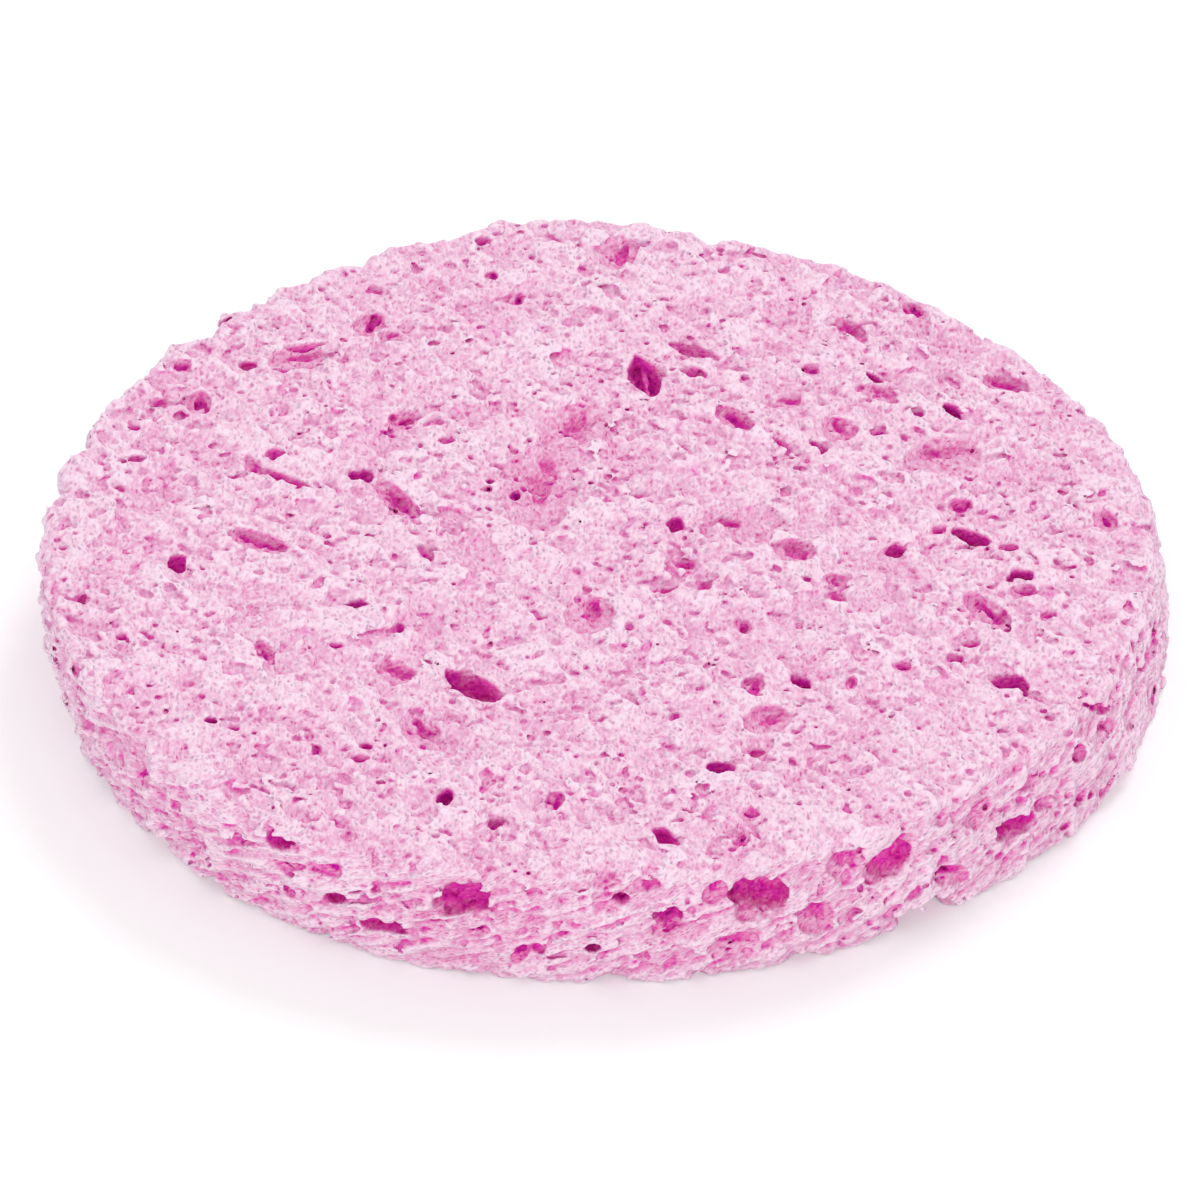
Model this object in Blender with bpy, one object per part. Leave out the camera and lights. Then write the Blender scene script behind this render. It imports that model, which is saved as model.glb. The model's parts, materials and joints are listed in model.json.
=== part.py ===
"""Cellulose facial sponge: one die-cut disc of open-celled foam, lying on its lower face.

Metres, +Z up. The lower face is at z = 0 and the disc's bounding box is centred on the origin.
The photograph looks from the -Y side.
"""

import math
import random

import bmesh
import bpy
from mathutils import Matrix, Vector

# Driving dimensions of the disc
DISC_RADIUS = 0.038
DISC_THICKNESS = 0.0095
EDGE_ROUNDING = 0.0008
WALL_BULGE = 0.0003
OUTLINE_WANDER = 0.0005
CUT_ROUGHNESS = 0.0002
CUT_LEAN_X = 0.0005
CUT_LEAN_Y = 0.0004

# Largest cell that opens on a surface, which the tables below scale
CELL_LENGTH = 0.0048
CELL_DEPTH = 0.0026
CELL_GAP = 0.0005

# Small cells scattered where the photograph does not look
SCATTERED_LENGTH = 0.0030
SCATTERED_WIDTH = 0.0018
SCATTERED_DEPTH = 0.0015
REST_PAD_RADIUS = 0.004

# Bites that the cutting die tore out of the two edges
BITE_LENGTH = 0.0052
BITE_HEIGHT = 0.0026
BITE_DEPTH = 0.0016

# Facets
OUTLINE_STEPS = 96
ROUNDING_STEPS = 2
SHARP_ANGLE = 40
LARGE_CELL_SHARE = 0.45
SEED = 11

# The hand-cut outline wanders in lobes: how many, how strong as a share of OUTLINE_WANDER, and the
# angle in degrees of the first crest
LOBE_SHARES = (
    (3, 1.0, 105),
    (4, 0.7, 0),
    (5, 0.4, 20),
)

# Cells on the upper face: x and y as shares of the radius, length and width as shares of
# CELL_LENGTH, depth as a share of CELL_DEPTH, and the turn of the long side in degrees
TOP_CELL_SHARES = (
    (-0.225, -0.440, 1.00, 0.42, 1.00, -42),
    (0.080, 0.510, 1.00, 0.50, 0.90, 105),
    (0.210, -0.685, 0.40, 0.32, 0.90, 0),
    (0.725, -0.430, 0.50, 0.36, 0.90, -20),
    (0.690, -0.210, 0.85, 0.36, 0.60, -55),
    (0.740, 0.485, 0.62, 0.36, 0.60, -25),
    (0.665, 0.012, 0.60, 0.26, 0.80, -30),
    (-0.555, 0.570, 0.76, 0.40, 0.50, 10),
    (-0.425, 0.675, 0.50, 0.42, 0.60, 60),
    (-0.735, 0.430, 0.46, 0.34, 0.50, 80),
    (-0.365, 0.120, 1.00, 0.32, 0.50, -60),
    (-0.620, 0.000, 0.84, 0.38, 0.60, -30),
    (-0.435, 0.200, 0.32, 0.26, 0.80, 0),
    (-0.360, 0.375, 0.38, 0.34, 0.60, 30),
    (-0.050, 0.350, 0.95, 0.66, 0.40, 60),
    (-0.130, 0.160, 0.95, 0.56, 0.25, 85),
    (0.035, 0.900, 0.70, 0.46, 0.45, 70),
    (0.170, 0.590, 0.72, 0.26, 0.60, -30),
    (0.245, 0.375, 0.68, 0.34, 0.60, -50),
    (0.435, 0.345, 0.54, 0.44, 0.50, -45),
    (0.640, 0.395, 0.42, 0.20, 0.80, -60),
    (0.620, 0.260, 1.00, 0.76, 0.25, 10),
    (0.460, 0.660, 0.62, 0.26, 0.35, -55),
    (0.350, -0.035, 0.56, 0.48, 0.35, -30),
    (0.530, -0.030, 0.32, 0.30, 0.70, 0),
    (0.135, 0.050, 0.38, 0.24, 0.70, 80),
    (0.910, 0.060, 0.50, 0.30, 0.50, -70),
    (-0.365, -0.395, 0.56, 0.40, 0.45, -40),
    (-0.315, -0.570, 0.90, 0.44, 0.35, -65),
    (-0.435, -0.197, 0.36, 0.24, 0.80, -10),
    (-0.760, -0.070, 0.36, 0.26, 0.70, 80),
    (-0.315, -0.040, 0.38, 0.18, 0.50, -65),
    (-0.600, -0.335, 0.44, 0.22, 0.50, -70),
    (-0.273, -0.765, 0.34, 0.22, 0.70, 70),
    (-0.080, -0.775, 0.38, 0.22, 0.50, 80),
    (0.355, -0.425, 0.38, 0.22, 0.80, -60),
    (0.270, -0.440, 0.44, 0.30, 0.40, 80),
    (0.295, -0.540, 0.62, 0.54, 0.40, 40),
    (0.755, -0.105, 0.30, 0.20, 0.80, -10),
    (0.255, -0.255, 0.36, 0.18, 0.50, -70),
    (0.150, -0.065, 0.42, 0.28, 0.45, 0),
    (-0.020, -0.230, 0.54, 0.40, 0.25, 0),
    (0.110, -0.880, 0.42, 0.24, 0.70, -65),
    (0.500, 0.505, 0.34, 0.16, 0.70, -40),
    (-0.155, 0.760, 0.30, 0.24, 0.45, 80),
)

# Cells on the wall: angle in degrees, height as a share of half the thickness from mid-height,
# length and width as shares of CELL_LENGTH, depth as a share of CELL_DEPTH, and the turn in degrees
WALL_CELL_SHARES = (
    (256.5, 0.45, 0.84, 0.50, 1.00, 20),
    (286.5, 0.45, 0.84, 0.54, 1.00, -20),
    (301.0, 0.40, 0.70, 0.46, 0.80, 20),
    (296.0, 0.62, 0.56, 0.36, 0.40, -10),
    (277.0, 0.25, 0.42, 0.40, 0.90, 80),
    (282.0, 0.62, 0.36, 0.30, 0.60, 60),
    (292.0, -0.18, 0.56, 0.46, 0.60, -60),
    (283.0, -0.40, 0.70, 0.44, 0.30, 0),
    (317.0, -0.05, 0.76, 0.30, 0.80, 0),
    (312.5, 0.55, 0.50, 0.28, 0.60, 20),
    (308.0, -0.30, 0.58, 0.30, 0.40, -25),
    (247.5, -0.28, 0.72, 0.20, 0.70, 12),
    (242.5, 0.00, 0.50, 0.20, 0.70, 35),
    (242.3, 0.50, 0.40, 0.20, 0.60, 15),
    (236.3, 0.66, 0.38, 0.22, 0.70, 20),
    (237.0, 0.22, 0.38, 0.16, 0.60, -15),
    (257.5, -0.10, 0.40, 0.16, 0.60, 25),
    (261.5, -0.45, 0.34, 0.20, 0.60, 60),
    (269.0, -0.25, 0.22, 0.20, 0.70, 0),
    (272.6, 0.62, 0.24, 0.22, 0.70, 0),
    (273.7, -0.40, 0.22, 0.20, 0.60, 0),
    (216.0, 0.28, 0.46, 0.26, 0.60, 40),
    (204.0, 0.05, 0.58, 0.18, 0.50, 20),
    (231.5, 0.35, 0.46, 0.14, 0.40, 30),
    (327.2, -0.38, 0.32, 0.18, 0.50, 10),
    (333.0, 0.42, 0.46, 0.16, 0.50, -25),
    (346.5, 0.35, 0.74, 0.22, 0.60, -8),
)

# Bites in the edges: angle in degrees, side (+1 upper edge, -1 lower edge), and length, height and
# depth as shares of the bite's sizes
BITE_SHARES = (
    (304.5, -1, 1.00, 1.00, 1.00),
    (290.0, -1, 0.55, 0.40, 0.50),
    (217.0, -1, 0.55, 0.60, 0.60),
    (226.5, -1, 0.50, 0.50, 0.50),
    (335.5, -1, 0.90, 0.60, 0.60),
    (78.5, 1, 0.35, 0.80, 1.00),
    (108.0, 1, 0.40, 0.60, 0.55),
    (117.0, 1, 0.32, 0.60, 0.55),
    (125.5, 1, 0.32, 0.60, 0.55),
    (134.0, 1, 0.55, 0.80, 0.80),
    (140.5, 1, 0.36, 0.60, 0.55),
    (161.0, 1, 0.50, 0.60, 0.45),
    (47.5, 1, 0.50, 0.70, 0.45),
)

SCATTERED_ON_WALL = 16
SCATTERED_BELOW = 30
SCATTER_TRIES = 60
SCATTER_REACH_SHARE = 0.90
SCATTER_SIZE_SHARES = (0.45, 1.0)
SCATTER_HEIGHT_SHARE = 0.55
SCATTER_PITCH_SHARES = (0.3, 0.7)
SCATTER_TILT = 30
HALF_TURN = 180
CELL_UNEVEN_SHARE = 0.12
CELL_SUNK_SHARE = 0.15
HIDDEN_WALL_FROM = 8.0
HIDDEN_WALL_TO = 196.0

FOAM_COLOUR = (0.88, 0.52, 0.72, 1.0)
FOAM_ROUGHNESS = 0.95


def clear_scene():
    for thing in list(bpy.data.objects):
        bpy.data.objects.remove(thing, do_unlink=True)


def foam_material():
    material = bpy.data.materials.new("pink_cellulose_foam")
    material.use_nodes = True
    shader = material.node_tree.nodes["Principled BSDF"]
    shader.inputs["Base Color"].default_value = FOAM_COLOUR
    shader.inputs["Roughness"].default_value = FOAM_ROUGHNESS
    shader.inputs["Metallic"].default_value = 0.0
    return material


def outline_radius(angle):
    """The wall's radius before centring, at an angle in radians."""
    wander = sum(
        strength * math.cos(lobes * (angle - math.radians(crest)))
        for lobes, strength, crest in LOBE_SHARES
    )
    return DISC_RADIUS + OUTLINE_WANDER * wander


def level_of(height):
    """A height as a share of half the thickness: -1 on the lower face and +1 on the upper one."""
    return 2 * height / DISC_THICKNESS - 1


def wall_inset(height):
    """How far the slightly bulging wall stands back from the outline at a height."""
    return WALL_BULGE * level_of(height) ** 2


def profile():
    """Inset and height of each ring of the wall, from the lower face to the upper one."""
    rings = []
    turns = [step / ROUNDING_STEPS * math.pi / 2 for step in range(ROUNDING_STEPS + 1)]
    for turn in turns:
        height = EDGE_ROUNDING * (1 - math.cos(turn))
        rings.append((EDGE_ROUNDING * (1 - math.sin(turn)) + wall_inset(height), height))
    rings.append((wall_inset(DISC_THICKNESS / 2), DISC_THICKNESS / 2))
    for turn in reversed(turns):
        height = DISC_THICKNESS - EDGE_ROUNDING * (1 - math.cos(turn))
        rings.append((EDGE_ROUNDING * (1 - math.sin(turn)) + wall_inset(height), height))
    return rings


def wall_point(angle, height, inset):
    """A place on the wall, which leans a little because the die cut at a slant."""
    radius = outline_radius(angle) - inset
    lean = Vector((CUT_LEAN_X, CUT_LEAN_Y, 0)) * level_of(height)
    return Vector((radius * math.cos(angle), radius * math.sin(angle), height)) - lean


def wall_rings():
    """The rough-cut wall as rings of points, from the lower face to the upper one."""
    chance = random.Random(SEED)
    rings = []
    for inset, height in profile():
        ring = []
        for step in range(OUTLINE_STEPS):
            torn = inset + CUT_ROUGHNESS * chance.random()
            ring.append(wall_point(math.tau * step / OUTLINE_STEPS, height, torn))
        rings.append(ring)
    return rings


def box_centre(rings):
    """The middle of the wall's own box, which goes to the origin."""
    xs = [point.x for ring in rings for point in ring]
    ys = [point.y for ring in rings for point in ring]
    return Vector(((min(xs) + max(xs)) / 2, (min(ys) + max(ys)) / 2, 0))


def disc_mesh(wall):
    """The solid disc: the wall's rings joined by quads and closed by two flat faces."""
    bm = bmesh.new()
    rings = [[bm.verts.new(point) for point in ring] for ring in wall]
    for low, high in zip(rings, rings[1:]):
        for step in range(OUTLINE_STEPS):
            after = (step + 1) % OUTLINE_STEPS
            bm.faces.new((low[step], low[after], high[after], high[step]))
    bm.faces.new(list(reversed(rings[0])))
    bm.faces.new(rings[-1])
    mesh = bpy.data.meshes.new("sponge_body")
    bm.to_mesh(mesh)
    bm.free()
    mesh.shade_smooth()
    mesh.set_sharp_from_angle(angle=math.radians(SHARP_ANGLE))
    return mesh


def add_cell(bm, chance, place, axes, sizes):
    """One uneven cell: a unit ball pushed about, stretched to three sizes and set on its axes."""
    large = sizes[0] > LARGE_CELL_SHARE * CELL_LENGTH
    made = bmesh.ops.create_icosphere(bm, subdivisions=2 if large else 1, radius=1)
    stretch = Matrix.Diagonal((sizes[0] / 2, sizes[1] / 2, sizes[2])).to_3x3()
    turn = Matrix(axes).transposed()
    for vertex in made["verts"]:
        push = 1 + chance.uniform(-CELL_UNEVEN_SHARE, CELL_UNEVEN_SHARE)
        vertex.co = place + turn @ (stretch @ (vertex.co * push))


def turned(along, across, degrees):
    """The two in-surface axes of a cell, turned by an angle."""
    turn = math.radians(degrees)
    first = along * math.cos(turn) + across * math.sin(turn)
    second = across * math.cos(turn) - along * math.sin(turn)
    return first, second


def add_face_cell(bm, chance, x, y, sizes, degrees, up):
    """A cell that opens on the upper face, or on the lower one where up is -1."""
    first, second = turned(Vector((1, 0, 0)), Vector((0, up, 0)), degrees)
    out = Vector((0, 0, up))
    surface = DISC_THICKNESS if up > 0 else 0.0
    place = Vector((x, y, surface)) - out * sizes[2] * CELL_SUNK_SHARE
    add_cell(bm, chance, place, (first, second, out), sizes)


def add_wall_cell(bm, chance, angle, height, sizes, degrees):
    """A cell that opens on the wall at an angle in radians."""
    out = Vector((math.cos(angle), math.sin(angle), 0))
    along = Vector((-math.sin(angle), math.cos(angle), 0))
    first, second = turned(along, Vector((0, 0, 1)), degrees)
    surface = wall_point(angle, height, wall_inset(height))
    add_cell(bm, chance, surface - out * sizes[2] * CELL_SUNK_SHARE, (first, second, out), sizes)


def add_bite(bm, chance, angle, side, sizes):
    """A torn notch across one edge of the wall."""
    out = Vector((math.cos(angle), math.sin(angle), 0))
    along = Vector((-math.sin(angle), math.cos(angle), 0))
    height = DISC_THICKNESS if side > 0 else 0.0
    add_cell(bm, chance, wall_point(angle, height, 0), (along, Vector((0, 0, 1)), out), sizes)


def add_photographed_cells(bm, chance):
    for x, y, length, width, depth, degrees in TOP_CELL_SHARES:
        sizes = (length * CELL_LENGTH, width * CELL_LENGTH, depth * CELL_DEPTH)
        add_face_cell(bm, chance, x * DISC_RADIUS, y * DISC_RADIUS, sizes, degrees, 1)
    for degrees_round, level, length, width, depth, degrees in WALL_CELL_SHARES:
        sizes = (length * CELL_LENGTH, width * CELL_LENGTH, depth * CELL_DEPTH)
        height = DISC_THICKNESS / 2 * (1 + level)
        add_wall_cell(bm, chance, math.radians(degrees_round), height, sizes, degrees)
    for degrees_round, side, length, height, depth in BITE_SHARES:
        sizes = (length * BITE_LENGTH, height * BITE_HEIGHT, depth * BITE_DEPTH)
        add_bite(bm, chance, math.radians(degrees_round), side, sizes)


def scattered_sizes(chance):
    size = chance.uniform(*SCATTER_SIZE_SHARES)
    return size * SCATTERED_LENGTH, size * SCATTERED_WIDTH, size * SCATTERED_DEPTH


def add_hidden_cells(bm, chance, centre):
    """Small cells on the lower face, clear of the middle it rests on, and on the wall behind."""
    placed = []
    reach = SCATTER_REACH_SHARE * DISC_RADIUS
    for _ in range(SCATTERED_BELOW * SCATTER_TRIES):
        if len(placed) == SCATTERED_BELOW:
            break
        sizes = scattered_sizes(chance)
        angle = chance.uniform(0, math.tau)
        radius = math.sqrt(chance.uniform(REST_PAD_RADIUS**2, reach**2))
        place = centre + Vector((radius * math.cos(angle), radius * math.sin(angle), 0))
        room = sizes[0] / 2 + CELL_GAP
        if all((place - other).length > room + used for other, used in placed):
            placed.append((place, sizes[0] / 2))
            add_face_cell(bm, chance, place.x, place.y, sizes, chance.uniform(0, HALF_TURN), -1)
    for step in range(SCATTERED_ON_WALL):
        way = (step + chance.uniform(*SCATTER_PITCH_SHARES)) / SCATTERED_ON_WALL
        angle = math.radians(HIDDEN_WALL_FROM + way * (HIDDEN_WALL_TO - HIDDEN_WALL_FROM))
        level = chance.uniform(-SCATTER_HEIGHT_SHARE, SCATTER_HEIGHT_SHARE)
        height = DISC_THICKNESS / 2 * (1 + level)
        tilt = chance.uniform(-SCATTER_TILT, SCATTER_TILT)
        add_wall_cell(bm, chance, angle, height, scattered_sizes(chance), tilt)


def cell_cutter(centre):
    """Every cell and bite in one hidden object, which the disc is cut by."""
    chance = random.Random(SEED)
    bm = bmesh.new()
    add_photographed_cells(bm, chance)
    add_hidden_cells(bm, chance, centre)
    mesh = bpy.data.meshes.new("open_cells")
    bm.to_mesh(mesh)
    bm.free()
    cutter = bpy.data.objects.new("open_cells", mesh)
    bpy.context.scene.collection.objects.link(cutter)
    cutter.hide_render = True
    cutter.display_type = "WIRE"
    return cutter


def sponge_body():
    wall = wall_rings()
    centre = box_centre(wall)
    body = bpy.data.objects.new("sponge_body", disc_mesh(wall))
    bpy.context.scene.collection.objects.link(body)
    body.location = -centre
    body.data.materials.append(foam_material())
    cut = body.modifiers.new("open_cells", "BOOLEAN")
    cut.operation = "DIFFERENCE"
    cut.solver = "EXACT"
    cut.use_self = True
    cut.object = cell_cutter(centre)
    cut.object.parent = body
    return body


clear_scene()
sponge_body()
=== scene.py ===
"""Looks of the cellulose facial sponge: open foam carved on a fine grid, its pink material, and
the camera, lamps and floor of the picture.

Metres, +Z up. The sponge lies on its lower face at z = 0, with its box centred on the origin. The
picture looks from the -Y side.
"""

import math

import bpy
import numpy as np
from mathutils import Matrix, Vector
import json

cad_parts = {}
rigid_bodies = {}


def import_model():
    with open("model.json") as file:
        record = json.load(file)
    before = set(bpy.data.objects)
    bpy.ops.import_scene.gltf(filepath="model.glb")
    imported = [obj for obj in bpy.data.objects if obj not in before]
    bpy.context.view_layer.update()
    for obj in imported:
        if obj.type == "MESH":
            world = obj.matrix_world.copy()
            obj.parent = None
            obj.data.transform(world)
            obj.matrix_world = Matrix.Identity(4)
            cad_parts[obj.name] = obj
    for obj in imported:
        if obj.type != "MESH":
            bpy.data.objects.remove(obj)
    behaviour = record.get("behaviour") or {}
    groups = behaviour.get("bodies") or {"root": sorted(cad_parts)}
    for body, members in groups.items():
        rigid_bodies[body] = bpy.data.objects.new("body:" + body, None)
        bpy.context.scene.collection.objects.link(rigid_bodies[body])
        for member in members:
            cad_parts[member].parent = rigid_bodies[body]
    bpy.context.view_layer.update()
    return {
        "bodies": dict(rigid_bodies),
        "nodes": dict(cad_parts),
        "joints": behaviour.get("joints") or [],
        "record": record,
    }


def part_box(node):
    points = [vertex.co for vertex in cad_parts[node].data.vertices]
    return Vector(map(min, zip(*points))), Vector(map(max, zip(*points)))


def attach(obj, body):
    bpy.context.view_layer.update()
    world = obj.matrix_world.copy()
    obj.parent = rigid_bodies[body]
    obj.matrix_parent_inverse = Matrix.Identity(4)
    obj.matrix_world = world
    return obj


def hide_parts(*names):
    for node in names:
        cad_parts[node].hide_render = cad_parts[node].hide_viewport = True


MM = 0.001

# Grid that the foam is carved on
GRID_STEP = 0.15 * MM
GRID_MARGIN = 1.2 * MM
SEED = 11

# Disc
RADIUS = 38.0 * MM
EDGE_ROUNDING = 0.8 * MM
WALL_BULGE = 0.3 * MM
OUTLINE_WANDER_SHARE = 0.013
CUT_LEAN = (0.5 * MM, 0.4 * MM)
# Lobes of the outline: how many round it, how strong, and a crest's angle in degrees
OUTLINE_LOBES = (
    (3, 1.0, 105),
    (4, 0.7, 0),
    (5, 0.4, 20),
)

# How far the outline stands out from the lobes' curve: degrees round it, and millimetres
OUTLINE_STEPS = (
    (0, -0.07), (20, 0.2), (45, 0.42), (62, 0.4), (72, 0), (84, 0.2), (95, 0.6), (104, 0.2), (120, 0),
    (135, -0.1), (180, 0), (200, -0.2), (212, -0.08), (235, 0.05), (270, 0.25), (290, 0.5), (300, 0.4),
    (315, 0.15), (330, 0.42), (345, -0.05),
)

# Torn bumps and notches of the upper edge: degrees round it, half width in degrees, millimetres out
TEARS = (
    (24, 2, -0.25), (48, 1.6, -0.6), (57, 2, 0.3), (63, 1.6, 0.3), (78, 2.4, -1.2), (93, 2, 0.3),
    (100.5, 2.6, 0.9), (106.5, 2.6, -0.8), (112.5, 2.4, 0.5), (117, 1.8, -0.7), (120.5, 1.6, 0.3),
    (126, 2.2, 0.5), (129.3, 1.4, -0.7), (134, 2.4, 0.7), (138, 1.8, -0.8), (142, 2.2, 0.8),
    (147, 2, 0.3), (162, 2, -0.6), (170, 3, -0.6), (177, 2, -0.3),
)

# The upper edge's tears fade out below it: how steeply they come in above mid height
TEAR_RISE = 1.6

# Unevenness of the cut skin: distance between lumps, and their height
LUMP_WAVE, LUMP_HEIGHT = 2.4 * MM, 0.06 * MM
CRUMB_WAVE, CRUMB_HEIGHT = 0.85 * MM, 0.06 * MM
GRAIN_WAVE, GRAIN_HEIGHT = 0.34 * MM, 0.055 * MM

# The foam stands on its highest lumps: none reaches below this
LOWER_SKIN_RISE = 0.02 * MM

# How much crumbs and grain tell in the raggedness of carved cells
ROUGH_SHARES = (0.6, 0.5)
# The raggedness that every carved cell has, besides its own share
LEAST_ROUGHNESS = 0.02 * MM
# How far from its middle a cell changes the foam, in radii
CARVED_REACH = 1.35

# Drawn-out ridges: along the faces they lean, and round the wall they rise anticlockwise, this many
# of them end to end in a turn and this many ridges higher after it
STREAK_LENGTH, STREAK_WIDTH, STREAK_HEIGHT = 2.6 * MM, 0.55 * MM, 0.06 * MM
STREAK_LEAN = -55
LAYER_WIDTH, LAYER_HEIGHT = 0.34 * MM, 0.13 * MM
LAYERS_ROUND, LAYERS_RISE = 130, 280
LAYER_REACH = 1.5 * MM
# How deep the painted shade is in the hollows between them
STREAK_PAINTED_SHADE, LAYER_PAINTED_SHADE = 0.06, 0.13

# Fine pores of the foam itself: how rarely they open, how crumbs and lumps add to the grain in
# them, how steep they are and how deep they reach
PORE_SHARE = 1.4
PORE_CRUMBS, PORE_LUMPS = 0.5, 0.3
PORE_SLOPE = 0.14 * MM
PORE_DEPTH = 0.18 * MM

# Largest photographed cell and largest bite, which the tables below scale
CELL_LENGTH = 4.8 * MM
CELL_DEPTH = 2.6 * MM
BITE_LENGTH = 5.2 * MM
BITE_HEIGHT = 2.6 * MM
BITE_DEPTH = 1.6 * MM

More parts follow.
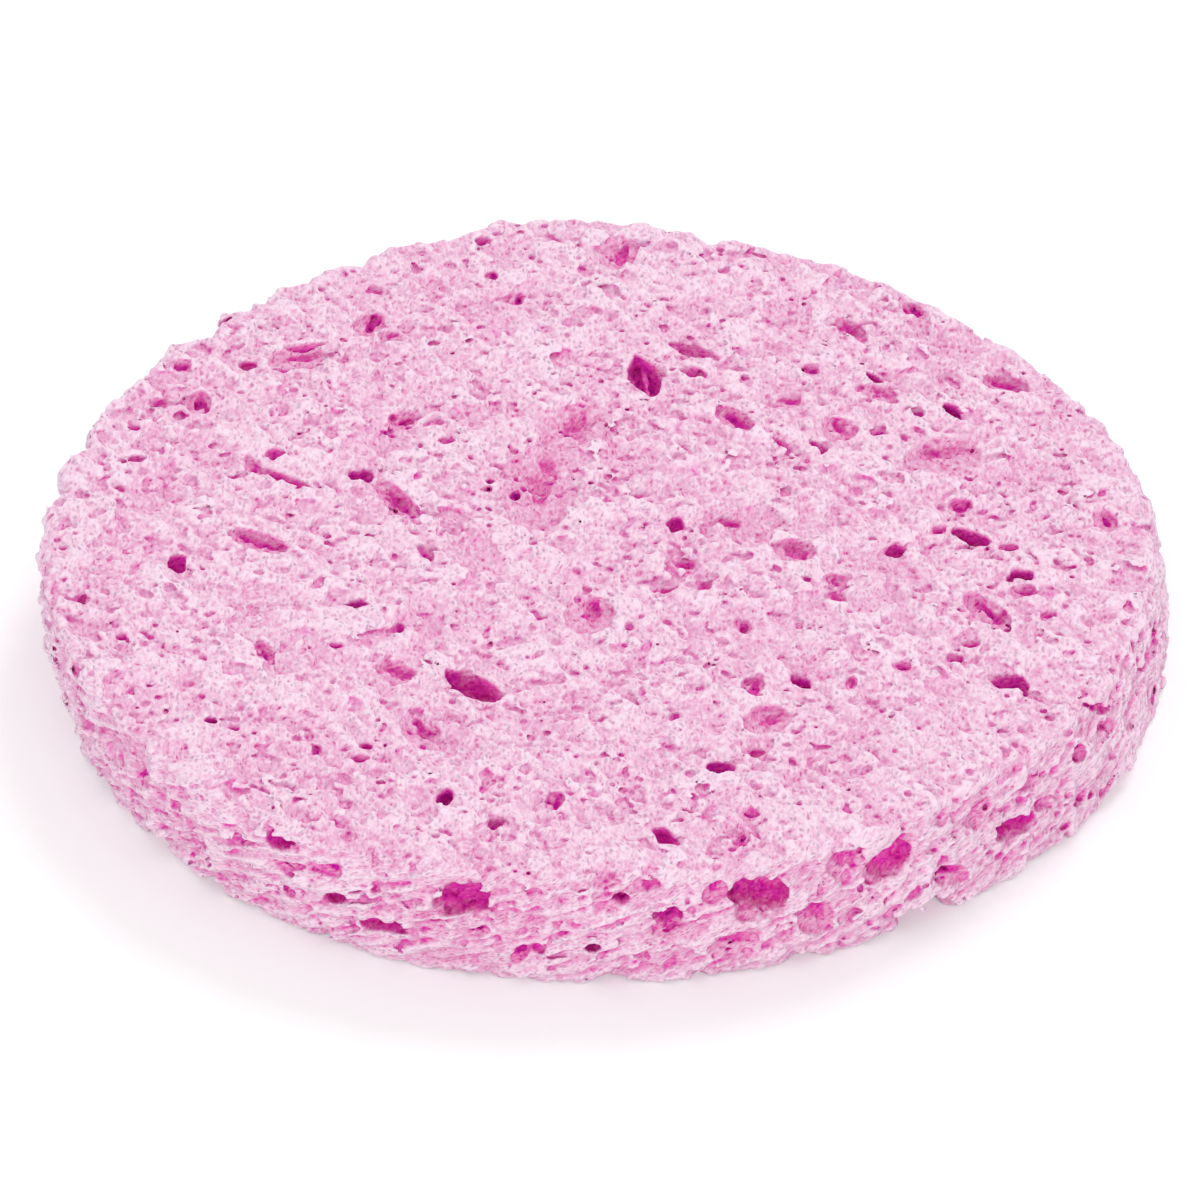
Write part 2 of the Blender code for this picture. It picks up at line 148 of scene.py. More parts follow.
# Cells on the upper face: x and y as shares of the radius, length and width as shares of
# CELL_LENGTH, depth as a share of CELL_DEPTH, and the turn of the long side in degrees
TOP_CELL_SHARES = (
    (-0.225, -0.44, 1, 0.42, 1, -42),
    (0.08, 0.51, 1, 0.5, 0.9, 105),
    (0.21, -0.685, 0.4, 0.32, 0.9, 0),
    (0.725, -0.43, 0.5, 0.36, 0.9, -20),
    (0.69, -0.21, 0.85, 0.36, 0.6, -55),
    (0.74, 0.485, 0.62, 0.36, 0.6, -25),
    (0.665, 0.012, 0.6, 0.26, 0.8, -30),
    (-0.555, 0.57, 0.76, 0.4, 0.5, 10),
    (-0.425, 0.675, 0.5, 0.42, 0.6, 60),
    (-0.735, 0.43, 0.46, 0.34, 0.5, 80),
    (-0.365, 0.12, 1, 0.32, 0.5, -60),
    (-0.62, 0, 0.84, 0.38, 0.6, -30),
    (-0.435, 0.2, 0.32, 0.26, 0.8, 0),
    (-0.36, 0.375, 0.38, 0.34, 0.6, 30),
    (-0.05, 0.35, 1.05, 0.8, 0.4, 60),
    (-0.111, 0.165, 1.85, 1, 0.2, 88),
    (0.035, 0.9, 0.7, 0.46, 0.45, 70),
    (0.17, 0.59, 0.72, 0.26, 0.6, -30),
    (0.245, 0.375, 0.68, 0.34, 0.6, -50),
    (0.435, 0.345, 0.54, 0.44, 0.5, -45),
    (0.64, 0.395, 0.42, 0.2, 0.8, -60),
    (0.62, 0.26, 1, 0.76, 0.25, 10),
    (0.46, 0.66, 0.62, 0.26, 0.35, -55),
    (0.35, -0.035, 0.56, 0.48, 0.35, -30),
    (0.53, -0.03, 0.32, 0.3, 0.7, 0),
    (0.135, 0.05, 0.38, 0.24, 0.7, 80),
    (0.91, 0.06, 0.5, 0.3, 0.5, -70),
    (-0.365, -0.395, 0.56, 0.4, 0.45, -40),
    (-0.315, -0.57, 0.9, 0.44, 0.35, -65),
    (-0.435, -0.197, 0.36, 0.24, 0.8, -10),
    (-0.76, -0.07, 0.36, 0.26, 0.7, 80),
    (-0.315, -0.04, 0.38, 0.18, 0.5, -65),
    (-0.6, -0.335, 0.44, 0.22, 0.5, -70),
    (-0.273, -0.765, 0.34, 0.22, 0.7, 70),
    (-0.08, -0.775, 0.38, 0.22, 0.5, 80),
    (0.355, -0.425, 0.38, 0.22, 0.8, -60),
    (0.27, -0.44, 0.44, 0.3, 0.4, 80),
    (0.295, -0.54, 0.62, 0.54, 0.4, 40),
    (0.755, -0.105, 0.3, 0.2, 0.8, -10),
    (0.255, -0.255, 0.36, 0.18, 0.5, -70),
    (0.15, -0.065, 0.42, 0.28, 0.45, 0),
    (-0.02, -0.23, 0.8, 0.66, 0.25, 80),
    (0.11, -0.88, 0.42, 0.24, 0.7, -65),
    (0.5, 0.505, 0.34, 0.16, 0.7, -40),
    (-0.155, 0.76, 0.3, 0.24, 0.45, 80),
    (-0.385, 0.64, 0.32, 0.28, 0.35, 0),
    (-0.645, 0.545, 0.24, 0.2, 0.5, 0),
    (-0.77, 0.545, 0.32, 0.24, 0.3, 0),
    (-0.81, 0.43, 0.18, 0.16, 0.5, 0),
    (-0.85, 0.345, 0.18, 0.16, 0.5, 0),
    (-0.385, 0.335, 0.3, 0.1, 0.4, -30),
    (-0.28, 0.305, 0.24, 0.2, 0.5, 0),
    (-0.59, 0.265, 0.24, 0.2, 0.5, 0),
    (-0.63, 0.225, 0.24, 0.2, 0.45, 80),
    (-0.84, 0.25, 0.24, 0.14, 0.5, 0),
    (-0.57, 0.19, 0.8, 0.12, 0.4, -35),
    (-0.2, 0.18, 0.14, 0.12, 0.8, 0),
    (-0.155, 0.145, 0.24, 0.16, 0.9, 80),
    (-0.22, 0.94, 0.24, 0.2, 0.4, 0),
    (-0.42, 0.785, 0.18, 0.16, 0.4, 0),
    (-0.2, 0.83, 0.18, 0.14, 0.4, 80),
    (-0.54, 0.605, 0.6, 0.1, 0.4, 10),
    (-0.555, 0.54, 0.68, 0.1, 0.6, 10),
    (0.17, 0.52, 0.4, 0.24, 0.45, -20),
    (0.385, 0.53, 0.24, 0.22, 0.5, 0),
    (0.345, 0.44, 0.26, 0.22, 0.45, 0),
    (0.51, 0.46, 0.48, 0.32, 0.3, -40),
    (0.58, 0.72, 0.4, 0.24, 0.5, -50),
    (0.575, 0.39, 0.2, 0.18, 0.5, 0),
    (0.505, 0.335, 0.32, 0.14, 0.45, 60),
    (0.65, 0.11, 0.32, 0.24, 0.5, 0),
    (0.61, 0.035, 0.18, 0.16, 0.5, 0),
    (0.735, -0.02, 0.24, 0.18, 0.5, 0),
    (0.235, 0.06, 0.4, 0.22, 0.45, 0),
    (0.065, 0.135, 0.18, 0.1, 0.5, 0),
    (0.33, 0.3, 0.34, 0.1, 0.5, -50),
    (0.395, 0.29, 0.34, 0.1, 0.5, -50),
    (-0.93, -0.175, 0.2, 0.16, 0.5, 80),
    (-0.36, -0.265, 0.28, 0.16, 0.5, 80),
    (-0.855, -0.29, 0.14, 0.12, 0.5, 0),
    (-0.47, -0.315, 0.22, 0.12, 0.5, 0),
    (-0.69, -0.54, 0.18, 0.16, 0.8, 0),
    (-0.65, -0.56, 0.18, 0.16, 0.5, 0),
    (-0.5, -0.62, 0.18, 0.12, 0.5, 80),
    (-0.415, -0.615, 0.18, 0.16, 0.5, 0),
    (-0.425, -0.65, 0.26, 0.14, 0.5, 0),
    (-0.185, -0.84, 0.2, 0.16, 0.8, 80),
    (0.755, -0.155, 0.36, 0.3, 0.3, 0),
    (0.12, -0.14, 0.24, 0.2, 0.4, 0),
    (0.185, -0.135, 0.3, 0.22, 0.4, 80),
    (0.42, -0.12, 0.3, 0.24, 0.35, -50),
    (0.42, -0.17, 0.3, 0.24, 0.35, -50),
    (0.535, -0.38, 0.24, 0.2, 0.4, 0),
    (0.63, -0.355, 0.22, 0.18, 0.4, 0),
    (0.445, -0.43, 0.28, 0.16, 0.4, 80),
    (0.88, -0.495, 0.24, 0.18, 0.5, 0),
    (0.26, -0.81, 0.24, 0.2, 0.4, 0),
    (0.245, -0.88, 0.4, 0.2, 0.35, 80),
    (0.66, -0.31, 0.24, 0.2, 0.4, 0),
    (0.8, -0.225, 0.24, 0.2, 0.4, 0),
    (0.27, -0.63, 0.32, 0.24, 0.3, 0),
    (0.13, -0.53, 0.22, 0.12, 0.4, 80),
    (0.05, -0.265, 0.2, 0.12, 0.4, 80),
)

# Cells on the wall: angle in degrees, height as a share of half the thickness from mid height,
# length and width as shares of CELL_LENGTH, depth as a share of CELL_DEPTH, and the turn in degrees
WALL_CELL_SHARES = (
    (256.5, 0.45, 0.84, 0.5, 1, 20),
    (286.5, 0.45, 0.84, 0.54, 1, -20),
    (301, 0.4, 0.7, 0.46, 0.8, 20),
    (296, 0.62, 0.56, 0.36, 0.4, -10),
    (277, 0.25, 0.42, 0.4, 0.9, 80),
    (282, 0.62, 0.36, 0.3, 0.6, 60),
    (292, -0.18, 0.56, 0.46, 0.6, -60),
    (283, -0.4, 0.7, 0.44, 0.3, 0),
    (317, -0.05, 0.76, 0.3, 0.8, 0),
    (312.5, 0.55, 0.5, 0.28, 0.6, 20),
    (308, -0.3, 0.58, 0.3, 0.4, -25),
    (247.5, -0.28, 0.72, 0.2, 0.7, 12),
    (242.5, 0, 0.5, 0.2, 0.7, 35),
    (242.3, 0.5, 0.4, 0.2, 0.6, 15),
    (236.3, 0.66, 0.38, 0.22, 0.7, 20),
    (237, 0.22, 0.38, 0.16, 0.6, -15),
    (257.5, -0.1, 0.4, 0.16, 0.6, 25),
    (261.5, -0.45, 0.34, 0.2, 0.6, 60),
    (269, -0.25, 0.22, 0.2, 0.7, 0),
    (272.6, 0.62, 0.24, 0.22, 0.7, 0),
    (273.7, -0.4, 0.22, 0.2, 0.6, 0),
    (216, 0.28, 0.46, 0.26, 0.6, 40),
    (204, 0.05, 0.58, 0.18, 0.5, 20),
    (231.5, 0.35, 0.46, 0.14, 0.4, 30),
    (327.2, -0.38, 0.32, 0.18, 0.5, 10),
    (333, 0.42, 0.46, 0.16, 0.5, -25),
    (346.5, 0.35, 0.74, 0.22, 0.6, -8),
    (211.5, 0.2, 0.2, 0.24, 0.5, 30),
    (222, 0.3, 0.28, 0.2, 0.5, 20),
    (238, 0.33, 0.4, 0.14, 0.6, 20),
    (246.5, 0.2, 0.2, 0.15, 0.5, 20),
    (237, -0.22, 0.17, 0.15, 0.5, 0),
    (254.8, 0.3, 0.34, 0.26, 0.6, 20),
    (263.5, -0.3, 0.2, 0.18, 0.5, 0),
    (271.5, 0.9, 0.4, 0.15, 0.5, 10),
    (275.5, 0.8, 0.28, 0.14, 0.5, 0),
    (276.7, 0, 0.34, 0.26, 0.5, 0),
    (285, 0.15, 0.28, 0.26, 0.5, 0),
    (302.5, 0.65, 0.4, 0.22, 0.6, 15),
    (299, 0.3, 0.3, 0.34, 0.6, 60),
    (303, -0.3, 0.28, 0.2, 0.45, 0),
    (307, 0.05, 0.2, 0.15, 0.5, 0),
    (314.5, -0.42, 0.17, 0.14, 0.5, 0),
    (319.5, 0.55, 0.34, 0.17, 0.6, -10),
    (321.5, 0.02, 0.34, 0.15, 0.5, 0),
    (327.5, 0.45, 0.34, 0.26, 0.4, -20),
    (334, 0.62, 0.34, 0.1, 0.5, -25),
    (332.5, 0.8, 0.34, 0.1, 0.5, -25),
    (332, -0.7, 0.2, 0.18, 0.5, 0),
)

# Bites in the edges: angle in degrees, side (+1 upper edge, -1 lower edge), and length, height and
# depth as shares of the bite's sizes
BITE_SHARES = (
    (304.5, -1, 1.05, 1.75, 1.6),
    (290, -1, 0.5, 0.7, 0.6),
    (279.3, -1, 0.25, 0.55, 0.4),
    (271, -1, 0.25, 0.55, 0.4),
    (216.8, -1, 0.6, 1.2, 0.9),
    (226, -1, 0.5, 0.85, 0.7),
    (335.5, -1, 0.95, 1, 0.8),
    (205, -1, 0.7, 0.6, 0.6),
)

# Seeded cells: how many on a face and on the wall, least and most half length, least width for the
# length, depth, how far their rims are rounded, and the strongest painted shade in them
SCATTERED = (
    (160, 60, 0.9 * MM, 2.2 * MM, 0.5, 0.22 * MM, 0.16 * MM, 0.12),
    (1100, 850, 0.35 * MM, 1.1 * MM, 0.45, 0.17 * MM, 0.12 * MM, 0.25),
    (130, 420, 0.2 * MM, 0.5 * MM, 0.4, 0.24 * MM, 0.08 * MM, 0.65),
    (2400, 1300, 0.15 * MM, 0.32 * MM, 0.5, 0.1 * MM, 0.08 * MM, 0.26),
)
# How seeded cells are sunk below a face or the wall, as shares of their depth, how ragged they are,
# how far they turn from the ridges in degrees, how the wall stretches them, and how wide and deep
# they may be
SUNK_ON_FACE = (-0.5, 0.2)
SUNK_ON_WALL = (-0.4, 0.4)
SCATTERED_ROUGHNESS = 0.25
SCATTERED_TURN_ON_FACE = 30
WALL_LEAN, SCATTERED_TURN_ON_WALL = 20, 15
WALL_STRETCH = (1.1, 0.6, 1)
WIDEST_SHARE = 0.95
DEPTH_SHARES = (0.5, 1.4)

# How a cell's mouth is cornered: pointed, round or boxy
CORNERS = (1.25, 1.5, 2.0, 3.0)
# Which way the shaded side of a photographed cell lies, on the upper face and on the wall
FACE_SHADE_SIDE = (0.3, 0.9, 0)
WALL_SHADE_SIDE = (0.2, 0, 0.8)
PLACED_SUNK_SHARE = 0.1
THIN_RIM, SOFT_RIM = 0.04 * MM, 0.06 * MM
BITE_ROUGHNESS = 0.14

# Cells up to this share of the full depth are bowls: how deep, how much wider than the cell, how
# far raised, and the painted shade of its floor. A pair is a value and what full depth adds to it.
BOWL_DEPTH_SHARE = 0.65
BOWL_DEPTH = (0.36 * MM, 0.25 * MM)
BOWL_SPREAD = 1.15
BOWL_RAISE_SHARE = 0.25
BOWL_ROUGHNESS = 0.1
BOWL_FLATNESS = 4
BOWL_PAINTED_SHADE = (0.13, 0.25)
# The shaded crescent in a bowl: length, width and depth, and how far it lies to the shaded side
CRESCENT_SHARES = (0.8, 0.45, 1.7)
CRESCENT_OFFSET_SHARE = 0.45
CRESCENT_ROUGHNESS = 0.3
# The painted shade in the crescent, which lies on the bowl's shaded side
CRESCENT_PAINTED_SHADE = (0.5, 0.8)
# The pits in a bowl: how many for its half length in millimetres and for its depth, how widely they
# lie, how they are stretched, their least and most size, and their painted shade
PIT_COUNTS = (1.5, 2)
PIT_SPREAD = 0.4
PIT_STRETCH = (1.4, 0.8, 1.0)
PIT_SIZES = (0.12, 0.26)
PIT_ROUGHNESS = 0.35
PIT_RIM = 0.05 * MM
PIT_PAINTED_SHADES = (0.4, 1.0)

# Deeper cells are holes, with painted shade in them
HOLE_SHARES = (1.05, 1.05, 0.7)
HOLE_OFFSET_SHARE = 0.05
HOLE_ROUGHNESS = 0.08
HOLE_FLATNESS = 3
HOLE_PAINTED_SHADE = (0.35, 0.6)
# The further holes in a hole: how many for its half length in millimetres, how widely they lie, how
# far to the shaded side and how far down, their least and most size, and their painted shade
LOBE_COUNT = 1.6
LOBE_SPREAD = 0.17
LOBE_OFFSET_SHARE, LOBE_SUNK_SHARE = 0.3, 0.35
LOBE_SIZES = (0.18, 0.36)
LOBE_STRETCH = (1.4, 0.7, 1.0)
LEAST_LOBE = 0.14 * MM
LOBE_ROUGHNESS = 0.12
LOBE_PAINTED_SHADE = (0.5, 0.7)

# Threads across cells deeper than this share of the full depth: how far they lean and lie aside,
# how deep, how far past the rim, and least and most half width
STRANDED_DEPTH_SHARE = 0.85
STRAND_LEAN = (-0.5, 0.5)
STRAND_ASIDE = (-0.3, 0.3)
STRAND_SUNK_SHARE = 0.3
STRAND_REACH = 1.05
STRAND_RADII = (0.13, 0.2)
STRAND_ROUGHNESS = 0.3

# How sharply the painted shade on laid-bare foam ends
PAINTED_SHADE_EDGE = 0.1 * MM
# How the painted shade of a hole deepens to its shaded side and its floor: in the middle, with each,
# and its least and most
SHADE_MIDDLE, SHADE_SLOPE = 1.0, 0.9
SHADE_LEAST, SHADE_MOST = 0.3, 1.2

# How deep in the disc all is foam, how far outside it all is air, and how far over the surface a
# dropped crumb or filled hollow is put, as a share of a grid step
SURE_FOAM = 3 * MM
SURE_AIR = 0.6 * MM
NUDGE_SHARE = 0.1

# Sight lines that find how enclosed a spot is: how many, where along each one looks, in grid steps,
# how far off the surface it starts, and how squarely it has to leave
SIGHT_LINES = 22
SIGHT_STEPS = (1.6, 2.8, 4.5, 7, 10.5, 15)
SIGHT_START = 0.6
SIGHT_LEAST_FACING = 0.1

# Sheet that the foam's colours are baked on, as shares of its side
SHEET_DISCS = (0.291, 0.709)
SHEET_DISC_WIDTH = 0.565
SHEET_STRIPS = 5
SHEET_STRIP_LENGTH = 0.405
SHEET_STRIP_FILL = (0.98, 0.9)
SHEET_EDGE = 0.004

# The foam's colours from its palest to its deepest: where light falls, and a painted shaded copy where foam
# encloses it
LIT_TINTS = (
    (0, (0.98, 0.77, 0.9)),
    (0.1, (0.96, 0.68, 0.83)),
    (0.2, (0.92, 0.58, 0.76)),
    (0.3, (0.88, 0.47, 0.69)),
    (0.4, (0.82, 0.36, 0.58)),
    (0.5, (0.77, 0.25, 0.48)),
    (0.62, (0.72, 0.13, 0.38)),
    (0.78, (0.68, 0.045, 0.33)),
    (1, (0.5, 0.008, 0.27)),
)
SHADED_TINTS = (
    (0, (0.97, 0.77, 0.9)),
    (0.2, (0.94, 0.57, 0.8)),
    (0.4, (0.9, 0.34, 0.65)),
    (0.62, (0.86, 0.12, 0.54)),
    (0.78, (0.85, 0.045, 0.54)),
    (1, (0.56, 0.008, 0.41)),
)
# Painted shade: grey specks in the fine pits that the bump sinks
GREY_SPECK_SHADE_TINT = (0.58, 0.32, 0.5)
FOAM_ROUGHNESS, FOAM_SPECULAR = 0.9, 0.25
# Noises drawn on the foam: their size and detail
NOISES = {
    "specks": (0.26 * MM, 1),
    "blotches": (0.5 * MM, 2),
    "clouds": (4.0 * MM, 2),
    "veins": (0.9 * MM, 2),
}
VEIN_WIDTH = 0.05
# Spots drawn on it: how far apart they are, and where they are full and faded out as shares of that
DOTS = (0.38 * MM, 0.22, 0.46)
GRAINS = (0.36 * MM, 0.15, 0.55)
FAINTEST_SPOT = 0.2
# How x and y, and x and z, add up to the stretched second and third coordinate, and how it wanders
STRETCHED_Y, STRETCHED_Z = (0.2, 0.65), (-0.8, 2.2)
WANDER_SIZE, WANDER_DETAIL, WANDER = 0.8 * MM, 1, 0.5 * MM
# Ranges: from two values, to two others
# Painted shade by depth: deeper below the skin, paler on lumps above it
SKIN_DEPTH_SHADE_RANGE = (-0.2, 0.3, -0.1, 0.12)
SHADED_RANGE = (0.05, 0.6, 0.0, 1.0)
# Where the painted grey specks of shade show: strongest on the palest foam
GREY_SPECK_SHADE_RANGE = (0.15, 0.5, 1.0, 0.0)
# How deep the colour is where nothing deepens it, and how much each thing does
COLOUR_DEPTH = 0.17
ENCLOSED_POWER = 1.5
LEVEL_SHADE = 0.5
# The weights of enclosure, carved hollows and nearby foam paint shade into the colour, and pale the ridges
COLOUR_WEIGHTS = {
    "enclosed_shade": 0.3,
    "painted_shade": 0.44,
    "near": 0.75,
    "specks": 0.5,
    "dots": 0.28,
    "veins": -0.07,
    "blotches": 0.55,
    "clouds": 0.08,
}
BUMP_STRENGTH, BUMP_DISTANCE = 0.5, 0.16 * MM
# Specks, grains and dots sink where they also deepen or grey the colour: random mottle, and painted shade of
# those pits
BUMP_WEIGHTS = {"specks": -1.0, "grains": -0.4, "dots": -0.6}

# Camera
CAMERA_ELEVATION = 36.3
CAMERA_DISTANCE = 0.95
CAMERA_LENS = 416
SENSOR_WIDTH = 36
AIM_SHARE = (-0.001, -0.0138)

# Lamps: strength, height and direction in degrees, and how wide they are in degrees
SUNS = (
    ("key", 0.79, 48, 60, 20),
    ("fill", 0.8, 8, 262, 16),
)
WORLD_STRENGTH = 0.79
FLOOR_SIDE = 3.0
FLOOR_GREY, FLOOR_GLOW = 0.8, 0.3

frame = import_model()
low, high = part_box("sponge_body")
THICKNESS = high.z - low.z
WIDTH = high.x - low.x


def outline_share(angle):
    """The outline's radius as a share of the disc's."""
    total = 1.0
    for lobes, strength, crest in OUTLINE_LOBES:
        total = total + OUTLINE_WANDER_SHARE * strength * np.cos(lobes * (angle - math.radians(crest)))
    return total


def stepped_radius(angle):
    """The disc's radius at mid height, with the steps of its outline."""
    degrees, steps = zip(*OUTLINE_STEPS)
    return RADIUS * outline_share(angle) + MM * np.interp(np.degrees(angle), degrees, steps, period=360)


def torn(angle):
    """How far the upper edge's torn bumps and notches stand out."""
    total = np.zeros_like(angle)
    for degrees, half_width, out in TEARS:
        apart = np.abs((np.degrees(angle) - degrees + 180) % 360 - 180)
        total = total + MM * out * np.clip(1 - apart / half_width, 0, 1)
    return total


def outline_middle():
    """Where the outline's own centre lies when its box is centred on the origin."""
    angle = np.linspace(0, math.tau, 720)
    x, y = RADIUS * outline_share(angle) * (np.cos(angle), np.sin(angle))
    return -(x.max() + x.min()) / 2, -(y.max() + y.min()) / 2


MIDDLE_X, MIDDLE_Y = outline_middle()


def grid_axes():
    reach = WIDTH / 2 + GRID_MARGIN
    xs = np.arange(-reach, reach, GRID_STEP, dtype=np.float32)
    zs = np.arange(-GRID_MARGIN, THICKNESS + GRID_MARGIN, GRID_STEP, dtype=np.float32)
    return xs, xs.copy(), zs


def spline_weights(count, cells):
    """Cubic B-spline weights that spread the values of `cells` lattice points over `count` samples."""
    at = np.linspace(0, cells - 3 - 1e-6, count)
    base = np.floor(at).astype(int)
    t = at - base
    weights = np.zeros((count, cells), np.float32)
    rows = np.arange(count)
    weights[rows, base] = (1 - t) ** 3 / 6
    weights[rows, base + 1] = (3 * t**3 - 6 * t**2 + 4) / 6
    weights[rows, base + 2] = (-3 * t**3 + 3 * t**2 + 3 * t + 1) / 6
    weights[rows, base + 3] = t**3 / 6
    return weights


def noise(chance, shape, waves):
    """Smooth noise of unit spread with lumps about `waves` apart along each axis."""
    cells = [int(count * GRID_STEP / wave) + 5 for count, wave in zip(shape, waves)]
    field = chance.standard_normal(cells).astype(np.float32)
    field = np.matmul(spline_weights(shape[0], cells[0]), field.reshape(cells[0], -1))
    field = field.reshape(shape[0], cells[1], cells[2])
    field = np.matmul(spline_weights(shape[1], cells[1]), field)
    field = np.matmul(field, spline_weights(shape[2], cells[2]).T)
    return field / field[::4, ::4, ::4].std()


def level_of(height):
    return 2 * height / THICKNESS - 1


def disc_field(xs, ys, zs):
    """Distance from the uncut disc, positive outside, and how much nearer the wall is than a face."""
    level = level_of(zs)
    x = xs[:, None, None] - MIDDLE_X + CUT_LEAN[0] * level
    y = ys[None, :, None] - MIDDLE_Y + CUT_LEAN[1] * level
    angle = np.arctan2(ys[None, :] - MIDDLE_Y, xs[:, None] - MIDDLE_X)
    outline = stepped_radius(angle)[:, :, None] + torn(angle)[:, :, None] * np.clip(TEAR_RISE * level, 0, 1)
    wall = np.hypot(x, y) - outline + WALL_BULGE * level**2
    face = np.abs(zs - THICKNESS / 2)[None, None, :] - THICKNESS / 2
    corner = np.hypot(np.maximum(wall + EDGE_ROUNDING, 0), np.maximum(face + EDGE_ROUNDING, 0))
    inner = np.minimum(np.maximum(wall, face) + EDGE_ROUNDING, 0)
    return (corner + inner - EDGE_ROUNDING).astype(np.float32), (wall - face).astype(np.float32)


def streaks(chance, xs, ys):
    """Drawn-out noise over the faces, turned to the way that the foam leans."""
    turn = math.radians(STREAK_LEAN)
    x, y = xs[:, None], ys[None, :]
    along = (x * math.cos(turn) + y * math.sin(turn)) / STREAK_LENGTH
    across = (y * math.cos(turn) - x * math.sin(turn)) / STREAK_WIDTH
    rows, columns = int(np.ptp(along)) + 3, int(np.ptp(across)) + 3
    lattice = chance.standard_normal((rows, columns)).astype(np.float32)
    field = between(lattice, along, across)
    return (field / field.std()).astype(np.float32)


def between(lattice, u, v):
    """The lattice's values between its points. It repeats in both directions."""
    i, j = np.floor(u).astype(int), np.floor(v).astype(int)
    u, v = smooth(u - i), smooth(v - j)
    rows, columns = lattice.shape
    i, j = i % rows, j % columns
    next_i, next_j = (i + 1) % rows, (j + 1) % columns
    near = lattice[i, j] * (1 - u) + lattice[next_i, j] * u
    far = lattice[i, next_j] * (1 - u) + lattice[next_i, next_j] * u
    return near * (1 - v) + far * v


def smooth(share):
    return share * share * (3 - 2 * share)


class Foam:
    """The grid and what is carved out of it. The field is negative in solid foam."""

    def __init__(self):
        self.axes = grid_axes()
        self.shape = tuple(len(axis) for axis in self.axes)
        self.chance = np.random.default_rng(SEED)
        self.skin, self.walled = disc_field(*self.axes)
        self.lumps = noise(self.chance, self.shape, [LUMP_WAVE] * 3)
        self.crumbs = noise(self.chance, self.shape, [CRUMB_WAVE] * 3)
        self.grain = noise(self.chance, self.shape, [GRAIN_WAVE] * 3)
        self.field = self.skin + LUMP_HEIGHT * self.lumps + CRUMB_HEIGHT * self.crumbs
        self.field += GRAIN_HEIGHT * self.grain
        drawn = streaks(self.chance, *self.axes[:2])[:, :, None]
        self.field += STREAK_HEIGHT * drawn
        # Painted shade in the hollows between the drawn-out ridges
        self.painted_shade = np.zeros(self.shape, np.float32) + STREAK_PAINTED_SHADE * np.clip(drawn, 0, 2)
        self.add_layers()
        self.rough = ROUGH_SHARES[0] * self.crumbs + ROUGH_SHARES[1] * self.grain
        np.maximum(self.field, LOWER_SKIN_RISE - self.axes[2], out=self.field)

    def add_layers(self):
        """Ridges round the wall, with painted shade in the hollows between them."""
        near = np.nonzero((self.walled > 0) & (np.abs(self.skin) < LAYER_REACH))
        x, y, z = (axis[part] for axis, part in zip(self.axes, near))
        turn = np.arctan2(y - MIDDLE_Y, x - MIDDLE_X) / math.tau
        lattice = self.chance.standard_normal((LAYERS_ROUND, LAYERS_RISE)).astype(np.float32)
        ridges = between(lattice, turn * LAYERS_ROUND, z / LAYER_WIDTH - turn * LAYERS_RISE)
        ridges = ridges / ridges.std() * np.clip(self.walled[near] / MM, 0, 1)
        self.field[near] += LAYER_HEIGHT * ridges
        self.painted_shade[near] = LAYER_PAINTED_SHADE * np.clip(ridges, 0, 2)

    def carve(
        self, place, turn, radii, rough, soft=THIN_RIM, corner=2.0, painted_shade=0.0, floor=2, shade_side=None
    ):
        """Cuts one ragged ellipsoid with a rounded rim, and paints shade on what it lays bare.

        The rows of `turn` are its own axes. The higher `floor` is, the flatter its floor and the
        steeper its sides. Away from `shade_side` and near the mouth the painted shade fades.
        """
        reach = np.abs(turn.T) @ radii * CARVED_REACH
        box = tuple(
            slice(*np.searchsorted(axis, (centre - size, centre + size)))
            for axis, centre, size in zip(self.axes, place, reach)
        )
        local = [axis[part] - centre for axis, part, centre in zip(self.axes, box, place)]
        if min(len(side) for side in local) == 0:
            return
        x, y, z = local[0][:, None, None], local[1][None, :, None], local[2][None, None, :]
        u, v, w = ((row[0] * x + row[1] * y + row[2] * z) / radius for row, radius in zip(turn, radii))
        steep = (u / radii[0]) ** 2 + (v / radii[1]) ** 2 + (w / radii[2]) ** 2
        if corner == 2.0:
            mouth = u * u + v * v
        else:
            mouth = (np.abs(u) ** corner + np.abs(v) ** corner) ** (2 / corner)
        near = (mouth ** (floor / 2) + np.abs(w) ** floor) ** (1 / floor)
        gap = near * (near - 1) / np.maximum(np.sqrt(steep), 1e-9)
        hole = (LEAST_ROUGHNESS + rough * min(radii)) * self.rough[box] - gap
        old = self.field[box]
        share = np.clip(0.5 + 0.5 * (hole - old) / soft, 0, 1)
        self.field[box] = old + (hole - old) * share + soft * share * (1 - share)
        tint = painted_shade * np.clip(1 + hole / PAINTED_SHADE_EDGE, 0, 1)
        if shade_side is not None:
            aside = (shade_side[0] * x + shade_side[1] * y + shade_side[2] * z) / radii[1]
            tint = tint * np.clip(SHADE_MIDDLE + SHADE_SLOPE * (aside - w), SHADE_LEAST, SHADE_MOST)
        np.maximum(self.painted_shade[box], tint, out=self.painted_shade[box])

    def bridge(self, start, end, radius):
        """Adds a round thread between two points."""
        low, high = np.minimum(start, end) - 3 * radius, np.maximum(start, end) + 3 * radius
        box = tuple(slice(*np.searchsorted(axis, pair)) for axis, pair in zip(self.axes, zip(low, high)))
        x, y, z = (axis[part] - centre for axis, part, centre in zip(self.axes, box, start))
        way = end - start
        x, y, z = x[:, None, None], y[None, :, None], z[None, None, :]
        share = np.clip((x * way[0] + y * way[1] + z * way[2]) / (way @ way), 0, 1)
        gap = np.sqrt((x - share * way[0]) ** 2 + (y - share * way[1]) ** 2 + (z - share * way[2]) ** 2)
        ragged = STRAND_ROUGHNESS * radius * self.rough[box]
        np.minimum(self.field[box], gap - radius + ragged, out=self.field[box])


